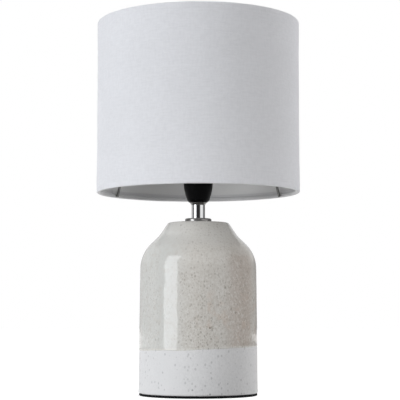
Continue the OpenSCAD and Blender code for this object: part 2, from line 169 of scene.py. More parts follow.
class Graph:
    """Adds nodes to a tree. An input is a number, a colour or another node's output."""

    def __init__(self, tree):
        self.tree = tree

    def add(self, kind, inputs=None, **settings):
        node = self.tree.nodes.new(kind)
        for key, value in settings.items():
            setattr(node, key, value)
        for key, value in (inputs or {}).items():
            self.feed(node.inputs[key], value)
        return node

    def feed(self, socket, value):
        if isinstance(value, bpy.types.NodeSocket):
            self.tree.links.new(value, socket)
        else:
            socket.default_value = value

    def math(self, operation, a, b=0.0):
        return self.add("ShaderNodeMath", {0: a, 1: b}, operation=operation).outputs[0]

    def times(self, product, *others):
        """The product of all the inputs."""
        for other in others:
            product = self.math("MULTIPLY", product, other)
        return product

    def plus(self, total, *others):
        """The sum of all the inputs."""
        for other in others:
            total = self.math("ADD", total, other)
        return total

    def axes(self, vector):
        return self.add("ShaderNodeSeparateXYZ", {"Vector": vector}).outputs

    def turn(self, x, y):
        """Angle about Z in radians, 0 towards -Y and growing towards +X."""
        return self.math("ARCTAN2", x, self.times(y, -1.0))

    def ramp(self, value, low, high, to_low=0.0, to_high=1.0):
        """value from low..high mapped smoothly to to_low..to_high. low may be the larger one."""
        inputs = {"Value": value, "From Min": low, "From Max": high, "To Min": to_low, "To Max": to_high}
        return self.add("ShaderNodeMapRange", inputs, interpolation_type="SMOOTHSTEP").outputs["Result"]

    def mix(self, share, a, b):
        """Colour a where share is 0, b where it is 1."""
        node = self.add("ShaderNodeMix", data_type="RGBA")
        self.feed(node.inputs[0], share)
        self.feed(node.inputs[6], a)
        self.feed(node.inputs[7], b)
        return node.outputs[2]

    def blend(self, share, a, b):
        """Number a where share is 0, b where it is 1."""
        node = self.add("ShaderNodeMix", {0: share, 2: a, 3: b}, data_type="FLOAT")
        return node.outputs[0]

    def stretched(self, vector, scale):
        return self.add("ShaderNodeMapping", {"Vector": vector, "Scale": scale}).outputs["Vector"]

    def noise(self, vector, scale, detail=2.0, roughness=0.5):
        inputs = {"Vector": vector, "Scale": scale, "Detail": detail, "Roughness": roughness}
        return self.add("ShaderNodeTexNoise", inputs).outputs["Fac"]

    def bump(self, height_mm, strength=1.0):
        inputs = {"Height": height_mm, "Distance": MM, "Strength": strength}
        return self.add("ShaderNodeBump", inputs).outputs["Normal"]


def new_material(name, **settings):
    """(material, graph, shader, place in millimetres). settings are the shader's uniform inputs."""
    material = bpy.data.materials.new(name)
    material.use_nodes = True
    graph = Graph(material.node_tree)
    shader = material.node_tree.nodes["Principled BSDF"]
    for key, value in settings.items():
        shader.inputs[key.replace("_", " ")].default_value = value
    place = graph.add("ShaderNodeTexCoord").outputs["Object"]
    return material, graph, shader, graph.stretched(place, (1 / MM, 1 / MM, 1 / MM))


def set_surface(graph, shader, colour, roughness, normal):
    graph.feed(shader.inputs["Base Color"], colour)
    graph.feed(shader.inputs["Roughness"], roughness)
    graph.feed(shader.inputs["Normal"], normal)


# ------------------------ finishes that pieces share

# Moulded or lacquered: colour, a second colour in patches, roughness (lowest, highest), relief in millimetres
MOULDED = {
    "black_rubber_skin": ((0.020, 0.020, 0.022), (0.032, 0.032, 0.034), (0.60, 0.80), 0.030),
    "holder_plastic": ((0.002, 0.002, 0.0022), (0.004, 0.004, 0.0043), (0.28, 0.40), 0.012),
    "white_plastic": ((0.80, 0.80, 0.78), (0.76, 0.76, 0.74), (0.30, 0.45), 0.010),
    "steatite": ((0.76, 0.73, 0.66), (0.72, 0.69, 0.62), (0.45, 0.60), 0.030),
    "opal_diffuser": ((0.86, 0.86, 0.84), (0.83, 0.83, 0.81), (0.22, 0.32), 0.006),
    "black_glass_seal": ((0.012, 0.012, 0.014), (0.020, 0.020, 0.022), (0.10, 0.20), 0.010),
    "white_lacquer": ((0.84, 0.84, 0.82), (0.80, 0.80, 0.78), (0.30, 0.40), 0.010),
    "green_lacquer": ((0.03, 0.16, 0.06), (0.05, 0.20, 0.08), (0.25, 0.40), 0.030),
    "chip_resin_yellow": ((0.80, 0.62, 0.12), (0.74, 0.56, 0.10), (0.15, 0.30), 0.010),
}
# What some of them need besides
MOULDED_SETTINGS = {
    "holder_plastic": {"Specular_IOR_Level": 0.03},
    "opal_diffuser": {"Subsurface_Weight": 0.25, "Subsurface_Radius": (0.002, 0.002, 0.002)},
}
# Metal: colour, a darker one in smears, roughness, grain (per millimetre), relief in millimetres
PLATED = {
    "zinc_plate": ((0.56, 0.56, 0.55), (0.46, 0.46, 0.44), (0.28, 0.42), 2.2, 0.020),
    "grey_zinc": ((0.17, 0.17, 0.165), (0.12, 0.12, 0.115), (0.38, 0.52), 2.2, 0.020),
    "yellow_zinc": ((0.60, 0.58, 0.52), (0.50, 0.47, 0.40), (0.30, 0.45), 2.0, 0.020),
    "brass": ((0.72, 0.56, 0.28), (0.60, 0.44, 0.20), (0.22, 0.38), 1.8, 0.020),
    "bulb_cap_metal": ((0.74, 0.74, 0.73), (0.62, 0.62, 0.60), (0.20, 0.35), 1.5, 0.020),
    "polished_chrome": ((0.86, 0.865, 0.87), (0.82, 0.825, 0.83), (0.03, 0.07), 1.5, 0.0015),
    # The flange's chrome is darker and rougher than the sleeve's
    "darker_chrome": ((0.33, 0.32, 0.31), (0.18, 0.175, 0.17), (0.20, 0.34), 2.4, 0.012),
    # Painted shade: the collar's chrome is made dark for the lampshade's shade over it
    "shade_darkened_chrome": ((0.20, 0.197, 0.194), (0.11, 0.108, 0.106), (0.06, 0.14), 2.4, 0.005),
}
# The CAD nodes that are shown as they are, by finish
PAINTED = {
    "black_rubber_skin": ["cord_grommet", "inner_rubber_washer", "flange_gasket"],
    "yellow_zinc": ["threaded_tube", "inner_steel_washer", "lock_washer", "cap_lock_screw"],
    "brass": ["hex_nut", "centre_contact", "side_contact", "terminal_screws"],
    "holder_plastic": ["holder_cap", "holder_shell", "shade_ring_nut"],
    "steatite": ["contact_carrier"],
    "liner_laminate": ["shade_liner"],
    "zinc_plate": ["top_ring", "bottom_ring"],
    "grey_zinc": ["spider_arms", "fitter_ring"],
    "opal_diffuser": ["bulb_globe"],
    "white_plastic": ["bulb_housing"],
    "bulb_cap_metal": ["bulb_cap", "bulb_contact"],
    "black_glass_seal": ["bulb_insulator"],
    "white_lacquer": ["led_board"],
    "chip_resin_yellow": ["led_chips"],
    "green_lacquer": ["driver_board"],
}


def moulded_plastic(name, colour, patches, roughness, relief):
    """Moulded plastic or rubber: fine moulded grain and slightly uneven gloss."""
    material, graph, shader, place = new_material(name, **MOULDED_SETTINGS.get(name, {}))
    grain = graph.noise(place, 4.5, detail=3.0, roughness=0.6)
    wear = graph.noise(place, 0.22, detail=3.0)
    tone = graph.mix(graph.ramp(wear, 0.4, 0.75), rgb(*colour), rgb(*patches))
    gloss = graph.ramp(graph.blend(0.5, grain, wear), 0.3, 0.7, *roughness)
    set_surface(graph, shader, tone, gloss, graph.bump(graph.times(grain, relief)))
    return material


def plated_metal(name, colour, smears, roughness, grain_scale, relief):
    """Metal with uneven polish: fine grain, faint smears and colour that changes a little."""
    material, graph, shader, place = new_material(name, Metallic=1.0)
    grain = graph.noise(place, grain_scale, detail=3.0, roughness=0.6)
    smear = graph.noise(graph.stretched(place, (0.25, 0.25, 0.9)), 1.0, detail=3.0)
    tone = graph.mix(graph.ramp(smear, 0.35, 0.75), rgb(*colour), rgb(*smears))
    gloss = graph.ramp(graph.blend(0.5, grain, smear), 0.3, 0.7, *roughness)
    set_surface(graph, shader, tone, gloss, graph.bump(graph.times(grain, relief)))
    return material


def liner_material():
    """Smooth white laminate with a faint fleece texture."""
    material, graph, shader, place = new_material("liner_laminate", Specular_IOR_Level=0.45)
    relief = 0.05
    fleece = graph.noise(place, 1.4, detail=4.0, roughness=0.7)
    blotch = graph.ramp(graph.noise(place, 0.05), 0.3, 0.7, 0.0, 0.3)
    colour = graph.mix(graph.ramp(fleece, 0.3, 0.7), rgb(0.620, 0.620, 0.622), rgb(0.660, 0.660, 0.662))
    colour = graph.mix(blotch, colour, grey(0.590))
    gloss = graph.ramp(fleece, 0.2, 0.8, 0.36, 0.48)
    set_surface(graph, shader, colour, gloss, graph.bump(graph.times(fleece, relief)))
    return material


def shared_finishes():
    """The materials that more than one piece may have, by name."""
    finishes = {"liner_laminate": liner_material()}
    for name, values in MOULDED.items():
        finishes[name] = moulded_plastic(name, *values)
    for name, values in PLATED.items():
        finishes[name] = plated_metal(name, *values)
    return finishes


def paint_cad_nodes(finishes):
    """Gives each shown CAD node its procedural material."""
    for finish, nodes in PAINTED.items():
        for node in nodes:
            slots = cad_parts[node].data.materials
            slots.clear()
            slots.append(finishes[finish])


# ------------------------ stoneware body

# The body's outline, in millimetres
FOOT_R = 57.7
FOOT_ROUND = 1.5
SHOULDER_R = 56.3
SHOULDER_Z = 122.5
SHOULDER_ROUND = 33.5
SLOPE_LEAN = 46
SLOPE_LEN = 8
NECK_ROUND = 30
NECK_LEAN = 33.5
BODY_TOP_Z = 167
TOP_EDGE_ROUND = 3
WALL_T = 6
TOP_T = 7
CAVITY_Z = BODY_TOP_Z - TOP_T
# Inside this radius the top is plain, down to TOP_BAND; above the cavity by CAVITY_BAND there is only outside
TOP_RIM_R = 25
TOP_BAND = 2
CAVITY_BAND = 0.5
TOP_HOLE_R = 5.6
TOP_HOLE_EDGE = 0.5
PAD_T = 2.2
CORD_HOLE_Z = 16
CORD_HOLE_R = 5
BODY_COLUMNS = 288
BODY_SHARP_DEG = 40
# Longest steps between the outline's points: outside, on the top and inside
OUTER_STEP = 2.5
TOP_STEP = 3
INNER_STEP = 6

# The glaze ends at a wandering line: its height on the axis, its rise from left to right, its wander
GLAZE_Z = 45.1
GLAZE_RISE = 1.9
GLAZE_WAVES = 0.55
GLAZE_RIPPLES = 0.22
# The glaze's edge is a step with a bead on it. The ranges are heights above the line
GLAZE_T = 0.16
GLAZE_STEP = (-0.05, 0.45)
GLAZE_BEAD = 0.12
BEAD_RISE = (-0.05, 0.5)
BEAD_FALL = (0.6, 3.0)
FULL_GLAZE = 3.0
# Rows of points near the line follow it: all the way up to the first distance, not at all from the second
FOLLOW = (8, 24)
# Heights of rows beside the line, above GLAZE_Z
GLAZE_ROWS = (-1.2, -0.3, 0.0, 0.25, 0.5, 0.9, 1.5, 2.2, 3.2, 4.5)
# The wheel left the wall uneven: depth, how close the bumps are round it, how far apart they are up it
THROWN = 0.10
THROWN_TURNS = 1.3
THROWN_PITCH = 26
# The unevenness fades out over these heights at the foot and at the top
FOOT_FADE = 6
TOP_FADE = 5


def ray(angle_deg):
    """Unit vector in the (radius, height) plane."""
    angle = math.radians(angle_deg)
    return Vector((math.cos(angle), math.sin(angle)))


WALL_LEAN = math.degrees(math.atan((FOOT_R - SHOULDER_R) / (SHOULDER_Z - PAD_T)))
SHOULDER_C = Vector((SHOULDER_R, SHOULDER_Z)) - SHOULDER_ROUND * ray(WALL_LEAN)
SLOPE_END = SHOULDER_C + SHOULDER_ROUND * ray(SLOPE_LEAN) + SLOPE_LEN * ray(SLOPE_LEAN + 90)
HOLLOW_C = SLOPE_END + NECK_ROUND * ray(SLOPE_LEAN)


def neck_r(inset, z):
    """Radius at height z of the neck's surface, set in by inset."""
    start = HOLLOW_C - (NECK_ROUND + inset) * ray(NECK_LEAN)
    return start.x - (z - start.y) * math.tan(math.radians(NECK_LEAN))


def body_side(inset):
    """Shoulder, slope and hollow round, set in by inset."""
    shoulder = arc(SHOULDER_C, SHOULDER_ROUND - inset, WALL_LEAN, SLOPE_LEAN, 22)
    hollow = arc(HOLLOW_C, -(NECK_ROUND + inset), SLOPE_LEAN, NECK_LEAN, 8)
    return shoulder + hollow


OUTER_SIDE = body_side(0)
INNER_SIDE = body_side(WALL_T)


def body_outline():
    """The whole wall: the outside from the foot up, the top, the hole in it, and the inside down again."""
    edge_z = BODY_TOP_Z - TOP_EDGE_ROUND
    top_edge = arc((neck_r(TOP_EDGE_ROUND, edge_z), edge_z), TOP_EDGE_ROUND, NECK_LEAN, 90, 8)
    foot = arc((FOOT_R - FOOT_ROUND, PAD_T + FOOT_ROUND), FOOT_ROUND, -90, 0, 6)
    beside_line = []
    for rise in GLAZE_ROWS:
        z = GLAZE_Z + rise
        beside_line.append((FOOT_R - (z - PAD_T) * math.tan(math.radians(WALL_LEAN)), z))
    outer = subdivided(foot + beside_line[:1], OUTER_STEP) + beside_line[1:]
    outer += subdivided([outer[-1], OUTER_SIDE[0]], OUTER_STEP)[1:] + OUTER_SIDE[1:]
    outer += subdivided([outer[-1], top_edge[0]], OUTER_STEP)[1:] + top_edge[1:]
    hole = [(TOP_HOLE_R + TOP_HOLE_EDGE, BODY_TOP_Z), (TOP_HOLE_R, BODY_TOP_Z - TOP_HOLE_EDGE)]
    hole += [(TOP_HOLE_R, CAVITY_Z)]
    top = subdivided([outer[-1]] + hole, TOP_STEP)[1:]
    inside = [(neck_r(WALL_T, CAVITY_Z), CAVITY_Z)] + INNER_SIDE[::-1] + [(FOOT_R - WALL_T, PAD_T)]
    return outer + top + subdivided([top[-1]] + inside, INNER_STEP)[1:]


def glaze_line(angle):
    """Height of the glaze's edge, in millimetres."""
    waves = GLAZE_WAVES * noise.noise(on_circle(angle, 2.1) + Vector((4, 1, 7)))
    ripples = GLAZE_RIPPLES * noise.noise(on_circle(angle, 9) + Vector((1, 5, 2)))
    return GLAZE_Z + GLAZE_RISE * math.cos(angle) + waves + ripples


def glaze_layer(above):
    """Thickness of the glaze at that height above its edge."""
    bead = GLAZE_BEAD * smoothstep(*BEAD_RISE, above) * (1 - smoothstep(*BEAD_FALL, above))
    return GLAZE_T * smoothstep(*GLAZE_STEP, above) + bead


def glaze_cover(angle, z):
    """How far a point is inside the glaze: 0 is bare, 0.5 its thin edge, 1 full."""
    above = z - glaze_line(angle)
    if above <= 0:
        return 0.0
    return 0.5 + 0.5 * smoothstep(0.0, FULL_GLAZE, above)


def on_outer_skin(r, z):
    """True for the outline's outer side."""
    if r > FOOT_R - WALL_T / 2:
        return True
    if z <= SHOULDER_Z:
        return False
    if z > BODY_TOP_Z - TOP_BAND:
        return r > TOP_RIM_R
    inner = min(INNER_SIDE, key=lambda point: abs(point[1] - z))
    return r > inner[0] + WALL_T / 2 or z > CAVITY_Z + CAVITY_BAND


def body_surface(angle, r, z):
    """Adds glaze and unevenness to the outer side, and makes its rows follow the glaze's edge."""
    r, z = r / MM, z / MM
    if on_outer_skin(r, z):
        line = glaze_line(angle)
        z += (1 - smoothstep(*FOLLOW, abs(z - GLAZE_Z))) * (line - GLAZE_Z)
        thrown = THROWN * noise.noise(on_circle(angle, THROWN_TURNS, z / THROWN_PITCH))
        foot_fade = smoothstep(PAD_T, PAD_T + FOOT_FADE, z)
        top_fade = 1 - smoothstep(BODY_TOP_Z - TOP_FADE, BODY_TOP_Z, z)
        r += (glaze_layer(z - line) + thrown) * foot_fade * top_fade
    return r * MM, z * MM


def make_body():
    """The stoneware wall, open below, with a hole for the cord at the back."""
    body = lathe("stoneware_wall", in_metres(body_outline()), BODY_COLUMNS, body_surface, BODY_SHARP_DEG)
    hole_start = (0, (FOOT_R - 2 * WALL_T) * MM, CORD_HOLE_Z * MM)
    hole_end = (0, (FOOT_R + WALL_T) * MM, CORD_HOLE_Z * MM)
    hole = rod("cord_hole", hole_start, hole_end, CORD_HOLE_R * MM)
    body = cut(body, "stoneware_body", hole, BODY_SHARP_DEG)
    cover = body.data.attributes.new("glaze", "FLOAT", "POINT")
    points = [v.co for v in body.data.vertices]
    cover.data.foreach_set("value", [glaze_cover(math.atan2(p.y, p.x), p.z / MM) for p in points])
    body.data.materials.append(stoneware_material())
    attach(body, "base")
    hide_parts("ceramic_body")


# ------------------------ stoneware's material

# Where the glaze's attribute turns from bare to covered, and from thin to thick
COVERED = (0.2, 0.4)
THICK = (0.5, 1.0)

# Places of painted light, of a painted brown reflection and of rust on the glaze: sideways from the axis
# (right is positive), behind it, and above the table
WARM_LIGHT_SIDE = (-34, 0)
BROWN_REFLECTION_SIDE = (22, 36, 47, 54)
BROWN_REFLECTION_DEPTH = (10, -15)
BROWN_REFLECTION_HEIGHT = (137, 131)
RUST_SIDE = (-6, 8)
RUST_HEIGHT = (110, 85)
TOP_LIGHT_HEIGHT = (136, 156)

GLAZE_NEUTRAL = rgb(0.655, 0.655, 0.630)
# Painted light: the glaze's colour where warm light falls, from the middle rightwards
GLAZE_WARM_LIGHT = rgb(0.655, 0.628, 0.585)
# Painted reflection: the brown that a brown surface to the right shows in the glaze
GLAZE_BROWN_REFLECTION = rgb(0.560, 0.497, 0.445)
GLAZE_BLOTCH = rgb(0.590, 0.556, 0.512)
GLAZE_RUST = rgb(0.610, 0.500, 0.420)
# Painted light: the paler glaze colour at the top of the slope
GLAZE_TOP_LIGHT = rgb(0.800, 0.785, 0.750)
GLAZE_THIN = rgb(0.740, 0.722, 0.680)
GLAZE_LIGHT_GRAIN = rgb(0.760, 0.745, 0.715)
GLAZE_DARK_GRAIN = rgb(0.480, 0.440, 0.395)
GLAZE_SPECK = rgb(0.190, 0.150, 0.110)
BARE_PALE = rgb(0.768, 0.764, 0.768)
BARE_DULL = rgb(0.748, 0.746, 0.751)
BARE_LIGHT_GRAIN = rgb(0.850, 0.845, 0.850)
BARE_DARK_GRAIN = rgb(0.520, 0.515, 0.520)
BARE_SPECK = rgb(0.300, 0.295, 0.300)

# Iron specks: cell, radius, share of the cells that hold one, seed
FINE = (1.9, 0.85, 0.75, 3.1)
MEDIUM = (3.1, 1.25, 0.50, 11.7)
LARGE = (9.5, 1.4, 0.16, 23.9)
# The glaze drew them out downwards a little
SPECK_RUN = (1, 1, 0.75)
# The smallest's share of the radius, and the share of each that is fully dark
SMALLEST_SPECK = 0.35
SPECK_CORE = 0.55
# How strongly specks and grain show in the glaze, and in the bare foot
FINE_SHOWS = 0.38
MEDIUM_SHOWS = 0.45
LARGE_SHOWS = 0.75
LIGHT_GRAIN_SHOWS = 0.65
DARK_GRAIN_SHOWS = 0.45
BARE_MEDIUM_SHOWS = 0.38
BARE_LIGHT_GRAIN_SHOWS = 0.5
BARE_DARK_GRAIN_SHOWS = 0.4
# They thin out towards the top, in clouds, to the left, and in one smooth stripe where the softbox's
# reflection falls, a painted highlight that washes specks out
SPARSE_HEIGHT = (150, 95)
SPARSE_SIDE = (-24, -8)
GLARE_STRIPE_SIDE = -28
GLARE_STRIPE_HALF = (7, 11)
TOP_DENSITY = 0.45
CLOUD_DENSITY = 0.75
LEFT_DENSITY = 0.6
GLARE_STRIPE_DENSITY = 0.45

GLAZE_ROUGHNESS = (0.055, 0.075)
BARE_ROUGHNESS = (0.58, 0.70)
# Relief, in millimetres
RIPPLE = 0.26
PIT = 0.025
BARE_GRAIN = 0.10


def speckles(graph, place, cell, radius, share, seed):
    """1 inside round specks: one to a cell at most, in that share of the cells, with uneven sizes."""
    moved = graph.add("ShaderNodeMapping", {"Vector": place, "Location": (seed, 2 * seed, 3 * seed)})
    cells = graph.add(
        "ShaderNodeTexVoronoi", {"Vector": moved.outputs["Vector"], "Scale": 1 / cell}, feature="F1")
    parts = graph.add("ShaderNodeSeparateColor", {"Color": cells.outputs["Color"]})
    size = graph.ramp(parts.outputs["Red"], 0.0, 1.0, SMALLEST_SPECK * radius / cell, radius / cell)
    inside = graph.math("DIVIDE", cells.outputs["Distance"], size)
    spot = graph.ramp(inside, SPECK_CORE, 1.0, 1.0, 0.0)
    chosen = graph.math("LESS_THAN", parts.outputs["Green"], share)
    return graph.times(spot, chosen)


def glaze_colour_with_painted_light(graph, place, patch, thick):
    """The glaze, with painted light: neutral on the left, warm painted light from the middle on, a painted
    brown reflection on the right, painted light paler at the top. No specks.
    """
    side, depth, height = graph.axes(place)
    # Painted light: neutral where the bluish key falls on the left, warmer from the middle on
    colour = graph.mix(graph.ramp(side, *WARM_LIGHT_SIDE), GLAZE_NEUTRAL, GLAZE_WARM_LIGHT)
    # A painted brown reflection on the right side, on the front half only
    start, full, full_end, end = BROWN_REFLECTION_SIDE
    brown_reflection = graph.times(
        graph.ramp(side, start, full),
        graph.ramp(side, end, full_end),
        graph.ramp(height, *BROWN_REFLECTION_HEIGHT, 0.35, 1.0),
        graph.ramp(depth, *BROWN_REFLECTION_DEPTH),
        graph.ramp(patch, 0.25, 0.55, 0.70, 1.0),
    )
    colour = graph.mix(brown_reflection, colour, GLAZE_BROWN_REFLECTION)
    blotch = graph.times(graph.ramp(patch, 0.45, 0.7), 0.35)
    colour = graph.mix(blotch, colour, GLAZE_BLOTCH)
    rust = graph.ramp(graph.noise(place, 0.10), 0.52, 0.68, 0.0, 0.45)
    rust = graph.times(rust, graph.ramp(side, *RUST_SIDE), graph.ramp(height, *RUST_HEIGHT))
    colour = graph.mix(rust, colour, GLAZE_RUST)
    # Painted light: paler towards the top of the slope under the flange
    colour = graph.mix(graph.ramp(height, *TOP_LIGHT_HEIGHT, 0.0, 0.55), colour, GLAZE_TOP_LIGHT)
    return graph.mix(thick, GLAZE_THIN, colour)


def iron_marks(graph, place):
    """Shares of specks in the glaze, of specks in the bare foot, of large specks alone, of light grain and of
    dark grain."""
    side, _, height = graph.axes(place)
    lower = graph.ramp(height, *SPARSE_HEIGHT, TOP_DENSITY, 1.0)
    clouds = graph.ramp(graph.noise(place, 0.03, detail=1.0), 0.3, 0.6, CLOUD_DENSITY, 1.0)
    density = graph.times(lower, clouds)
    run = graph.stretched(place, SPECK_RUN)
    fine = speckles(graph, run, *FINE)
    medium = speckles(graph, run, *MEDIUM)
    large = graph.times(speckles(graph, place, *LARGE), lower, LARGE_SHOWS)
    bare_specks = graph.math("MAXIMUM", graph.times(medium, density, BARE_MEDIUM_SHOWS), large)

    # Painted highlight: fewer specks in the stripe under the softbox's reflection
    from_glare_stripe = graph.math("ABSOLUTE", graph.plus(side, -GLARE_STRIPE_SIDE))
    glare_stripe = graph.ramp(from_glare_stripe, *GLARE_STRIPE_HALF, GLARE_STRIPE_DENSITY, 1.0)
    density = graph.times(density, graph.ramp(side, *SPARSE_SIDE, LEFT_DENSITY, 1.0), glare_stripe)
    fine = graph.times(fine, density, FINE_SHOWS)
    medium = graph.times(medium, density, MEDIUM_SHOWS)
    specks = graph.math("MAXIMUM", graph.math("MAXIMUM", fine, medium), large)
    mottle = graph.noise(run, 0.55, roughness=0.7)
    light_grain = graph.times(graph.ramp(mottle, 0.50, 0.66), density, LIGHT_GRAIN_SHOWS)
    dark_grain = graph.times(graph.ramp(mottle, 0.50, 0.34), density, DARK_GRAIN_SHOWS)
    return specks, bare_specks, large, light_grain, dark_grain


def stoneware_material():
    """Glossy warm-grey speckled glaze above the glaze line, pale matt stoneware below it."""
    material, graph, shader, place = new_material("stoneware_glaze", IOR=1.5)
    glaze = graph.add("ShaderNodeAttribute", attribute_name="glaze").outputs["Fac"]
    covered = graph.ramp(glaze, *COVERED)
    patch = graph.noise(place, 0.19)
    specks, bare_specks, large, light_grain, dark_grain = iron_marks(graph, place)

    glazed = glaze_colour_with_painted_light(graph, place, patch, graph.ramp(glaze, *THICK))
    glazed = graph.mix(light_grain, glazed, GLAZE_LIGHT_GRAIN)
    glazed = graph.mix(dark_grain, glazed, GLAZE_DARK_GRAIN)
    glazed = graph.mix(specks, glazed, GLAZE_SPECK)
    cloud = graph.noise(place, 0.045, detail=3.0)
    bare = graph.mix(graph.ramp(cloud, 0.3, 0.7), BARE_PALE, BARE_DULL)
    bare = graph.mix(graph.times(dark_grain, BARE_DARK_GRAIN_SHOWS), bare, BARE_DARK_GRAIN)
    bare = graph.mix(graph.times(light_grain, BARE_LIGHT_GRAIN_SHOWS), bare, BARE_LIGHT_GRAIN)
    bare = graph.mix(bare_specks, bare, BARE_SPECK)

    glossy = graph.ramp(patch, 0.3, 0.7, *GLAZE_ROUGHNESS)
    rough = graph.ramp(graph.noise(place, 1.2), 0.2, 0.8, *BARE_ROUGHNESS)
    ripple = graph.times(graph.noise(place, 0.11, detail=1.0), RIPPLE)
    grain = graph.times(graph.noise(place, 2.6, detail=4.0, roughness=0.65), BARE_GRAIN)
    relief = graph.blend(covered, grain, graph.plus(ripple, graph.times(large, -PIT)))
    colour = graph.mix(covered, bare, glazed)
    set_surface(graph, shader, colour, graph.blend(covered, rough, glossy), graph.bump(relief))
    return material


# ------------------------ linen drum

FABRIC_LOW, FABRIC_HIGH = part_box("shade_fabric")
RING_LOW, RING_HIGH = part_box("bottom_ring")
SHADE_R = FABRIC_HIGH.x
WIRE_R = (RING_HIGH.z - RING_LOW.z) / 2
RING_R = RING_HIGH.x - WIRE_R
FABRIC_T = 0.6 * MM
LINER_T = 0.54 * MM
# The cloth rolls round the ring and ends in a flap behind it
HEM_H = 7 * MM
ROLL_R = WIRE_R + FABRIC_T
ROLL_GAP = 0.02 * MM
# Below 1 the outer turn of the roll is creased rather than round
CREASE = 0.5
# The drum isn't a perfect cylinder: depths, and the ranges of distance from the rim where each comes in
WAIST = 0.35 * MM
WAIST_RANGE = (4 * MM, 40 * MM)
SLACK = 0.10 * MM
SLACK_RANGE = (3 * MM, 14 * MM)
SLACK_TURNS = 3
SLACK_PITCH = 28 * MM
GROOVE = 0.16 * MM
GROOVE_PLACE = 4.9 * MM
GROOVE_HALF = 0.75 * MM
RIM_TILT = 0.3 * MM
RIM_WANDER = 0.16 * MM
RIM_TURNS = 6
RIM_RANGE = (1 * MM, 9 * MM)
# Far enough along in the noise for the upper rim to wander in its own way
UPPER_RIM = 5.0
NOTCH_W = 7 * MM
NOTCH_Z = FABRIC_LOW.z + 0.9 * MM
SEAM_W = 12 * MM
SEAM_T = 0.42 * MM
# The overlap's free edge: width of its step, width of the columns there, and how far the other side fades
SEAM_STEP = 0.14 * MM
SEAM_EDGE = 0.15 * MM
SEAM_FADE = 5 * MM
ARM_ANGLES = [math.radians(a) for a in (-90, 30, 150)]
SEAM_ANGLE = math.radians(90)
# Columns and rows of the mesh; the rim's rows are distances from the roll's centre, in millimetres
DRUM_COLUMNS = 264
COLUMN_GAP = 0.004
WALL_ROWS = 30
RIM_ROWS = (0.7, 1.4, 2.1, 2.8, 3.5, 4.3, 5.2, 6.2)
FLAP_STEP = 1.2 * MM
DRUM_SHARP_DEG = 50


def rolled_path(radius, flap_x):
    """One face of the rolled lower edge, from the top of the flap round the ring to the wall.

    Places are relative to the ring's centre. The face runs at that radius round the wire, and the flap's face
    is at flap_x."""
    flap_top = HEM_H - ROLL_R
    meet = math.degrees(math.acos(flap_x / radius))
    flap = subdivided([(flap_x, flap_top), (flap_x, radius * math.sin(math.radians(meet)))], FLAP_STEP)
    inner_turn = arc((0, 0), radius, meet, 270, 20)
    outer_turn = []
    for x, z in arc((0, 0), 1.0, 270, 360, 14)[1:]:
        outer_turn.append((radius * abs(x) ** CREASE, -radius * abs(z) ** CREASE))
    return flap[:-1] + inner_turn + outer_turn


def drum_path(roll, wall_r, heights):
    """One face of the linen: the roll round the lower ring, the wall, and the same roll upside down."""
    low_z = FABRIC_LOW.z + ROLL_R
    high_z = FABRIC_HIGH.z - ROLL_R
    path = [(RING_R + x, low_z + z) for x, z in roll]
    path += [(wall_r, z) for z in heights]
    path += [(RING_R + x, high_z - z) for x, z in roll[::-1]]
    return path


def drum_paths():
    """Outside and inside faces of the linen, from the lower flap to the upper one, with equal counts."""
    low_z = FABRIC_LOW.z + ROLL_R
    high_z = FABRIC_HIGH.z - ROLL_R
    flap_x = ROLL_R - FABRIC_T - LINER_T
    out_roll = rolled_path(ROLL_R, flap_x - FABRIC_T)
    in_roll = rolled_path(WIRE_R + ROLL_GAP, flap_x)
    count = min(len(out_roll), len(in_roll))
    out_roll, in_roll = out_roll[-count:], in_roll[-count:]
    out_roll[0] = (flap_x - FABRIC_T, HEM_H - ROLL_R)
    in_roll[0] = (flap_x, HEM_H - ROLL_R)
    heights = [low_z + rise * MM for rise in RIM_ROWS]
    heights += [low_z + (high_z - low_z) * i / WALL_ROWS for i in range(2, WALL_ROWS - 1)]
    heights += [high_z - rise * MM for rise in RIM_ROWS[::-1]]
    return drum_path(out_roll, SHADE_R, heights), drum_path(in_roll, SHADE_R - FABRIC_T, heights)


def around(angle, centre):
    """Signed distance in radians from centre to angle."""
    return math.atan2(math.sin(angle - centre), math.cos(angle - centre))


def drum_angles():
    """Column angles: even, and exact at the edges of the notches and of the overlap at the back."""
    special = []
    for arm in ARM_ANGLES:
        special += [arm - NOTCH_W / 2 / RING_R, arm + NOTCH_W / 2 / RING_R]
    seam = SEAM_W / 2 / SHADE_R
    special += [SEAM_ANGLE - seam, SEAM_ANGLE - seam + SEAM_EDGE / SHADE_R]
    special += [SEAM_ANGLE + seam, SEAM_ANGLE + seam + SEAM_FADE / SHADE_R]
    angles = [2 * math.pi * i / DRUM_COLUMNS for i in range(DRUM_COLUMNS)]
    angles = [a for a in angles if all(abs(around(a, s)) > COLUMN_GAP for s in special)]
    return sorted(angles + [a % (2 * math.pi) for a in special])


def from_rim(z):
    """Distance up or down from the nearer rim."""
    return min(z - FABRIC_LOW.z, FABRIC_HIGH.z - z)


def linen_relief(angle, z):
    """How far the outer face stands from the plain drum: overlap, groove beside the rings, slack, waist."""
    past_edge = around(angle, SEAM_ANGLE - SEAM_W / 2 / SHADE_R) * SHADE_R
    overlap = SEAM_T * smoothstep(0.0, SEAM_STEP, past_edge)
    overlap *= 1 - smoothstep(SEAM_W, SEAM_W + SEAM_FADE, past_edge)
    rim = from_rim(z)
    groove = -GROOVE * math.exp(-(((rim - GROOVE_PLACE) / GROOVE_HALF) ** 2))
    slack = SLACK * noise.noise(on_circle(angle, SLACK_TURNS, z / SLACK_PITCH))
    slack *= smoothstep(*SLACK_RANGE, rim)
    return overlap + groove + slack - WAIST * smoothstep(*WAIST_RANGE, rim)


